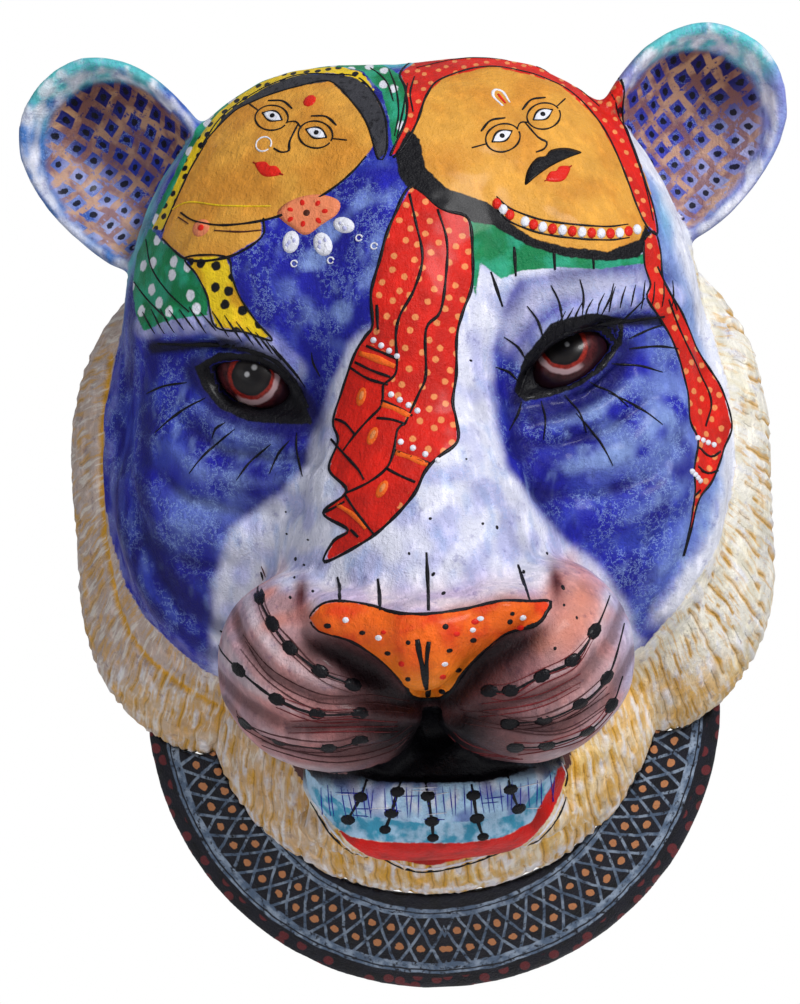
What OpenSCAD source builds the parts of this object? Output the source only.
// Big-cat head wall mask: moulded papier-mache shell with built-up features,
// a sloping collar, and a batten with a hinged hanging ring inside the back.
// X runs to the viewer's right, Z up, and the face looks along -Y. The wall is the plane y = 0.

/* [Head] */
// Half width of the skull at the temples
skull_half_width = 131; // [110:150]
// Height of the crown above the middle of the back
crown_height = 199; // [160:220]
// Reach of the forehead in front of the wall
forehead_depth = 110; // [90:130]
// Reach of the snout in front of the wall
snout_depth = 165; // [140:190]
// Thickness of the moulded wall
wall = 5; // [4:8]
// Depth of the eye sockets
socket_depth = 13; // [6:18]

/* [Eyes] */
// Sideways distance of each pupil from the middle
eye_x = 65; // [55:75]
// Height of the pupils
eye_z = 55; // [45:65]
// Reach of the eye's front
eye_depth = 101; // [92:110]
// Half length of the eye opening
eye_half_length = 19; // [15:24]
// Slant of the eye opening, inner corner low
eye_slant = 30; // [0:40]

/* [Ears] */
// Sideways distance of the ear's middle
ear_x = 125; // [115:140]
// Height of the ear's middle
ear_z = 155; // [140:165]
// Outward tilt of the ear
ear_tilt = 38; // [20:50]
// Half width of the ear
ear_half_width = 38; // [30:48]
// Reach of the ear's tip from its middle
ear_reach = 48; // [40:58]
// Depth of the ear's cup
ear_cup = 24; // [12:30]

/* [Muzzle and jaw] */
// Half width across both muzzle pads
muzzle_half_width = 86; // [75:95]
// Reach of the nose in front of the wall
nose_depth = 186; // [175:195]
// Half width of the chin
chin_half_width = 56; // [45:65]
// Height of the lip band's lower edge
lip_bottom = -150; // [-160:-140]

/* [Ruff and collar] */
// Half width across the side ruffs
ruff_half_width = 161; // [140:170]
// Height of the collar circle's middle
collar_z = -92; // [-100:-80]
// Outer radius of the collar
collar_outer = 131; // [120:140]
// Inner radius of the collar, where it meets the chin ruff
collar_inner = 80; // [75:90]
// Reach of the collar's inner edge
collar_rise = 44; // [30:55]

/* [Back] */
// Half length of the cross batten
batten_half = 104; // [90:110]
// Height of the batten's middle
batten_z = 104; // [90:120]
// Half width of the back hoop
hoop_half_width = 90; // [80:100]
// Width of the hoop's band
hoop_band = 18; // [12:24]
// Radius of the hanging ring's wire
ring_wire_r = 1.5; // [1:0.1:2]
// Half width of the hanging ring between wire centres
ring_half = 12.5; // [10:0.5:16]

/* [Hidden] */

glue = 0.06;              // gap left at a glued face
blend = 7;                // softness of the join between swellings
far = 400;                // larger than the whole mask
steps_in = 8;             // halvings of the search for the skin along a ray

// A swelling is [middle, radii], both as [x, depth, z], where depth is measured from the wall.
function mirrored(b) = [[-b[0][0], b[0][1], b[0][2]], b[1]];
function both(b) = [b, mirrored(b)];

skull = [[32, 34, crown_height - 132], [skull_half_width - 34, forehead_depth - 36, 127]];
cheek = [[74, 44, -4], [59, 54, 76]];
brow = [[54, 78, 96], [44, 30, 30]];
forehead = [[0, 66, 118], [62, 44, 52]];
bridge = [[0, 84, 56], [42, 48, 78]];
snout = [[0, 92, -10], [52, snout_depth - 106, 62]];
nose_root = [[0, 108, -36], [42, snout_depth - 112, 32]];
muzzle_core = [[0, 92, -48], [68, 56, 44]];
jaw = [[0, 58, -90], [68, 42, 60]];
head = concat(both(skull), both(cheek), both(brow), [forehead, bridge, snout, nose_root, muzzle_core, jaw]);
head_from = [0, 30, 0];

ruff = [[[92, 14, 24], [ruff_half_width - 95, 52, 90]], [[94, 14, -40], [ruff_half_width - 99, 48, 72]]];
ruff_from = [92, 10, -8];
chin_fur = concat([[[0, 36, -114], [84, 44, 60]]], both([[54, 30, -96], [44, 36, 44]]));
chin_fur_from = [0, 30, -112];

pad = [[[44, 122, -62], [muzzle_half_width - 47, 46, 38]], [[34, 122, -78], [32, 42, 26]]];
pad_from = [40, 118, -68];
nose = concat(both([[29, 152, -43], [18, 22, 11]]), [[[0, 155, -48], [30, nose_depth - 160, 12]],
              [[0, 158, -58], [13, nose_depth - 162, 14]]]);
nose_from = [0, 152, -48];
chin_lump = [[[0, 90, -114], [chin_half_width, 38, 26]]];
chin_from = [0, 88, -116];
lip_lump = [[[0, 83, lip_bottom + 18], [chin_half_width + 4, 38, 18]]];
lip_from = [0, 80, lip_bottom + 18];

// Sum of a list, from item i on.
function total(v, i = 0) = i >= len(v) ? 0 : v[i] + total(v, i + 1);
// Roughly how far a point is outside a swelling, and below zero within it.
function outside(p, b) =
    let (q = [for (i = [0:2]) (p[i] - b[0][i]) / b[1][i]],
         g = [for (i = [0:2]) q[i] / b[1][i]],
         n = norm(q))
    n < 0.01 ? -min(b[1]) : n * (n - 1) / norm(g);
// The same for a group of swellings, with the joins softened.
function field(p, blobs, soft) = -soft * ln(total([for (b = blobs) exp(-outside(p, b) / soft)]));
function dip(x, z, at, size) = exp(-pow((x - at[0]) / size[0], 2) - pow((z - at[1]) / size[1], 2));
function head_field(p) = field(p, head, blend)
    + (p[1] > 40 ? socket_depth * dip(abs(p[0]), p[2], [eye_x - 3, eye_z - 5], [25, 16]) : 0);

// Distance along a ray to the skin, by halving the stretch that holds it. Kind 0 is the head.
function value(kind, blobs, p) = kind == 0 ? head_field(p) : field(p, blobs, kind);
function skin(kind, blobs, level, from, dir, lo, hi, left = steps_in) =
    let (mid = (lo + hi) / 2, v = value(kind, blobs, from + mid * dir) - level)
    left > 0 ? (v < 0 ? skin(kind, blobs, level, from, dir, mid, hi, left - 1)
                      : skin(kind, blobs, level, from, dir, lo, mid, left - 1))
    : let (a = value(kind, blobs, from + lo * dir) - level, b = value(kind, blobs, from + hi * dir) - level)
      lo + (hi - lo) * a / (a - b);

// Direction at an angle round the Y axis and an angle away from the front, as [x, depth, z].
function heading(round, away) = [sin(away) * cos(round), cos(away), sin(away) * sin(round)];
function place(from, dir, r) =
    [from[0] + r * dir[0], -(from[1] + r * dir[1]), from[2] + r * dir[2]];

// Closed solid from a stack of rings of points, with an apex before the first and after the last.
module rings_solid(apex_a, rings, apex_b) {
    n = len(rings[0]);
    m = len(rings);
    points = concat([apex_a], [for (r = rings) for (p = r) p], [apex_b]);
    last = len(points) - 1;
    start = [for (j = [0:n - 1]) [0, 1 + (j + 1) % n, 1 + j]];
    finish = [for (j = [0:n - 1]) let (b = 1 + (m - 1) * n) [last, b + j, b + (j + 1) % n]];
    sides = [for (i = [0:m - 2]) for (j = [0:n - 1])
        let (a = 1 + i * n, b = a + n, k = (j + 1) % n)
        for (t = [[a + j, a + k, b + j], [b + j, a + k, b + k]]) t];
    polyhedron(points, concat(start, sides, finish), convexity = 8);
}

// A filled form grown out to a level of its field, seen from a point inside it.
module form(kind, blobs, from, level = 0, around = 40, steps = 18, longest = 160) {
    front = heading(0, 0);
    back = heading(0, 180);
    rings = [for (i = [1:steps - 1]) let (away = 180 * i / steps) [for (j = [0:around - 1])
        let (dir = heading(360 * j / around, away))
        place(from, dir, skin(kind, blobs, level, from, dir, 0, longest))]];
    rings_solid(place(from, front, skin(kind, blobs, level, from, front, 0, longest)), rings,
                place(from, back, skin(kind, blobs, level, from, back, 0, longest)));
}

module head_form(level = 0) form(0, head, head_from, level, 80, 36, 260);

// Everything on the wall's side of a depth.
module behind(depth) translate([-far, -depth, -far]) cube(2 * far);
module side(right) translate([right ? glue / 2 : -far - glue / 2, -far, -far]) cube([far, 2 * far, 2 * far]);

module eye_form(grow = 0) {
    dome = 13;            // half thickness of the eye, front to back
    half_height = 12.5;
    turn_out = 14;        // the eye looks a little outwards
    translate([eye_x, -(eye_depth - dome), eye_z])
        rotate([0, -eye_slant, turn_out])
            scale([eye_half_length + grow, dome + grow, half_height + grow]) sphere(r = 1, $fn = 30);
}

module both_sides() {
    children();
    mirror([1, 0, 0]) children();
}

module head_shell() {
    color("#3c40a8")
    resize([0, 0, 0])
    difference() {
        head_form();
        form(0, head, head_from, -wall, 56, 26, 260);
        behind(0);
        both_sides() eye_form(glue);
        hoop_blank(glue);
    }
}

// Cross-section of the ear from its middle to its edge and back: [share of the outline, depth].
function ear_profile() =
    let (rim = 6, steps = 7, inner = 0.86)
    concat([for (i = [1:steps]) let (t = inner * i / steps) [t, -ear_cup * pow(1 - pow(t / inner, 2), 0.8)]],
           [for (a = [30:30:150]) [inner + (1 - inner) * (0.5 - cos(a) / 2), rim * 0.6 * sin(a)]],
           [[1, -rim * 0.8], [0.94, -rim * 2.2]],
           [for (i = [1:steps - 1]) let (t = 0.9 * (1 - i / steps)) [t, -rim * 2.6 - ear_cup * (1 - pow(t, 2))]]);
function ear_outline(a) = let (c = cos(a), s = sin(a), up = s > 0 ? ear_reach : ear_reach * 1.15)
    1 / pow(pow(abs(c) / ear_half_width, 2.3) + pow(abs(s) / up, 2.3), 1 / 2.3);

module ear_form(around = 44) {
    profile = ear_profile();
    rings = [for (p = profile) [for (j = [0:around - 1]) let (a = 360 * j / around, r = p[0] * ear_outline(a))
        [r * cos(a), -p[1] - 0.10 * r * sin(a), r * sin(a)]]];
    rings_solid([0, ear_cup, 0], rings, [0, 15.6 + ear_cup, 0]);
}

module ear(right) {
    color("#4a55b0")
    resize([0, 0, 0])
    difference() {
        mirror([right ? 0 : 1, 0, 0])
            translate([ear_x, -46, ear_z]) rotate([4, ear_tilt, 10]) ear_form();
        head_form(glue);
    }
}
module left_ear() ear(false);
module right_ear() ear(true);

module eye(right) {
    color("#5b2a20")
    resize([0, 0, 0])
    mirror([right ? 0 : 1, 0, 0]) eye_form();
}
module left_eye() eye(false);
module right_eye() eye(true);

module nose_form(level = 0) form(4, nose, nose_from, level, 36, 18, 90);
module pad_form(level = 0) form(6, pad, pad_from, level, 40, 18, 120);

module muzzle(right) {
    color("#a56a6a")
    resize([0, 0, 0])
    difference() {
        mirror([right ? 0 : 1, 0, 0])
            intersection() {
                pad_form();
                side(true);
            }
        head_form(glue);
        nose_form(glue);
    }
}
module muzzle_left() muzzle(false);
module muzzle_right() muzzle(true);

module nose_pad() {
    color("#e0701c")
    resize([0, 0, 0])
    difference() {
        nose_form();
        head_form(glue);
    }
}

module chin_form(level = 0) form(4, chin_lump, chin_from, level, 44, 18, 120);
module lip_form(level = 0) form(4, lip_lump, lip_from, level, 44, 16, 120);

module chin() {
    color("#4a9bc0")
    resize([0, 0, 0])
    difference() {
        chin_form();
        head_form(glue);
        both_sides() pad_form(glue);
    }
}

module lip_band() {
    color("#c02418")
    resize([0, 0, 0])
    difference() {
        lip_form();
        head_form(glue);
        chin_form(glue);
        both_sides() pad_form(glue);
    }
}

module ruff_form(level = 0) form(8, ruff, ruff_from, level, 56, 24, 180);
module chin_fur_form(level = 0) form(8, chin_fur, chin_fur_from, level, 48, 22, 180);

module ruff_side(right) {
    color("#e8dcc0")
    resize([0, 0, 0])
    difference() {
        mirror([right ? 0 : 1, 0, 0]) ruff_form();
        head_form(glue);
        behind(0);
    }
}
module ruff_left() ruff_side(false);
module ruff_right() ruff_side(true);

module chin_ruff() {
    color("#dcc060")
    resize([0, 0, 0])
    difference() {
        chin_fur_form();
        head_form(glue);
        behind(0);
        both_sides() ruff_form(glue);
        lip_form(glue);
        chin_form(glue);
        both_sides() pad_form(glue);
    }
}

module collar() {
    slope_t = 5;
    color("#1c1c28")
    resize([0, 0, 0])
    difference() {
        translate([0, 0, collar_z]) rotate([90, 0, 0]) rotate([0, 0, 170])
            rotate_extrude(angle = 200, $fn = 120)
                polygon([[collar_outer - 7, 0], [collar_outer, 0], [collar_outer, 9], [collar_outer - 3, 12],
                         [collar_inner, collar_rise], [collar_inner - 3, collar_rise - 5],
                         [collar_outer - 9, 6]]);
        head_form(glue);
        both_sides() ruff_form(glue);
        chin_fur_form(glue);
    }
}

hoop_t = 5;               // hoop plate thickness, flush with the wall
hoop_z = 58;              // height of the hoop's middle
hoop_spread = 8;          // half distance between the hoop's arc centres
batten_back = hoop_t;     // depth of the batten's back face
batten_t = 12;            // batten thickness
batten_h = 26;            // batten height
batten_screw_x = hoop_half_width - 18;
batten_screw_r = 2;
batten_head_r = 4;

module oval(r) {
    for (s = [-1, 1]) translate([0, s * hoop_spread]) circle(r = r, $fn = 128);
    square([2 * r, 2 * hoop_spread], center = true);
}

// The hoop's outline before drilling, grown all round by a clearance.
module hoop_blank(grow = 0) {
    translate([0, 0, hoop_z]) rotate([90, 0, 0]) linear_extrude(hoop_t + grow) difference() {
        oval(hoop_half_width + grow);
        oval(hoop_half_width - hoop_band - grow);
    }
}

// Plywood ring that stiffens the rim and lies flat on the wall.
module back_hoop() {
    color("#c8a878")
    difference() {
        hoop_blank();
        for (x = [-1, 1]) translate([x * batten_screw_x, 0, batten_z]) {
            screw_hole(batten_screw_r, hoop_t + 1);
            screw_hole(batten_head_r + glue, 1.6);
        }
    }
}

module batten() {
    color("#b08a5a")
    difference() {
        translate([-batten_half, -(batten_back + batten_t), batten_z - batten_h / 2])
            cube([2 * batten_half, batten_t, batten_h]);
        for (x = [-1, 1]) translate([x * batten_screw_x, 0, batten_z])
            screw_hole(batten_screw_r, batten_t + batten_back + 1);
        hanger_holes();
    }
}

// A hole that starts behind the wall plane and runs forward to a depth.
module screw_hole(r, depth) translate([0, 1, 0]) rotate([90, 0, 0]) cylinder(r = r, h = depth + 1, $fn = 32);

// A glue block fills the corner between the batten's front and the shell's inside.
module block(right) {
    color("#c09a68")
    resize([0, 0, 0])
    difference() {
        intersection() {
            mirror([right ? 0 : 1, 0, 0])
                translate([batten_screw_x - 10, -(batten_back + batten_t + 30), batten_z - batten_h / 2])
                    cube([60, 30 - glue, batten_h]);
            form(0, head, head_from, -wall - glue, 56, 26, 260);
        }
        translate([(right ? 1 : -1) * batten_screw_x, 0, batten_z]) screw_hole(batten_screw_r + glue, 40);
    }
}
module left_block() block(false);
module right_block() block(true);

// Flat-headed wood screw lying forward from the plane of its head's front.
module wood_screw(r, length, head_r, head_t) {
    rotate([90, 0, 0]) {
        cylinder(r = r, h = length, $fn = 32);
        translate([0, 0, -head_t]) cylinder(r = head_r, h = head_t, $fn = 32);
    }
}

module batten_screws() {
    color("#c8b060")
    for (x = [-1, 1])
        translate([x * batten_screw_x, -1.6, batten_z])
            wood_screw(batten_screw_r, 36, batten_head_r, 1.5);
}

barrel_clear = 0.06;      // running clearance round the ring's bar
strap_t = 1.2;            // strap thickness
strap_half = 7;           // half width of the strap
barrel_r = ring_wire_r + barrel_clear + strap_t;
barrel_depth = batten_back - barrel_r;   // depth of the ring's axis
barrel_z = batten_z + 9;  // height of the ring's axis
strap_drop = 24;          // length of the strap below the axis
strap_holes = [-8, -15];  // screw heights below the axis
screw_r = 1.4;            // hanger screw shank radius

module hanger_holes() {
    for (z = strap_holes) translate([0, 0, barrel_z + z]) screw_hole(screw_r, batten_back + 10);
}

module hanger_strap() {
    color("#b8b8c0")
    difference() {
        union() {
            translate([-strap_half, -batten_back, barrel_z - strap_drop + 4])
                cube([2 * strap_half, strap_t, strap_drop - 4]);
            translate([-strap_half, -barrel_depth, barrel_z])
                rotate([0, 90, 0]) cylinder(r = barrel_r, h = 2 * strap_half, $fn = 48);
        }
        translate([-strap_half - 1, -barrel_depth, barrel_z])
            rotate([0, 90, 0]) cylinder(r = ring_wire_r + barrel_clear, h = 2 * strap_half + 2, $fn = 48);
        hanger_holes();
    }
}

module hanger_ring() {
    leg = 9;
    color("#d0d0d8")
    translate([0, -barrel_depth, barrel_z]) {
        translate([-ring_half, 0, 0]) rotate([0, 90, 0]) cylinder(r = ring_wire_r, h = 2 * ring_half, $fn = 32);
        for (x = [-1, 1]) {
            translate([x * ring_half, 0, 0]) sphere(r = ring_wire_r, $fn = 32);
            translate([x * ring_half, 0, -leg]) cylinder(r = ring_wire_r, h = leg, $fn = 32);
        }
        translate([0, 0, -leg]) rotate([90, 0, 0]) rotate([0, 0, 180])
            rotate_extrude(angle = 180, $fn = 64) translate([ring_half, 0]) circle(r = ring_wire_r, $fn = 32);
    }
}

module hanger_screws() {
    color("#c8b060")
    for (z = strap_holes)
        translate([0, -batten_back + strap_t, barrel_z + z]) wood_screw(screw_r, 10, 2.8, 1.1);
}

head_shell();
left_ear();
right_ear();
left_eye();
right_eye();
muzzle_left();
muzzle_right();
nose_pad();
chin();
lip_band();
ruff_left();
ruff_right();
chin_ruff();
collar();
back_hoop();
batten();
left_block();
right_block();
batten_screws();
hanger_strap();
hanger_ring();
hanger_screws();
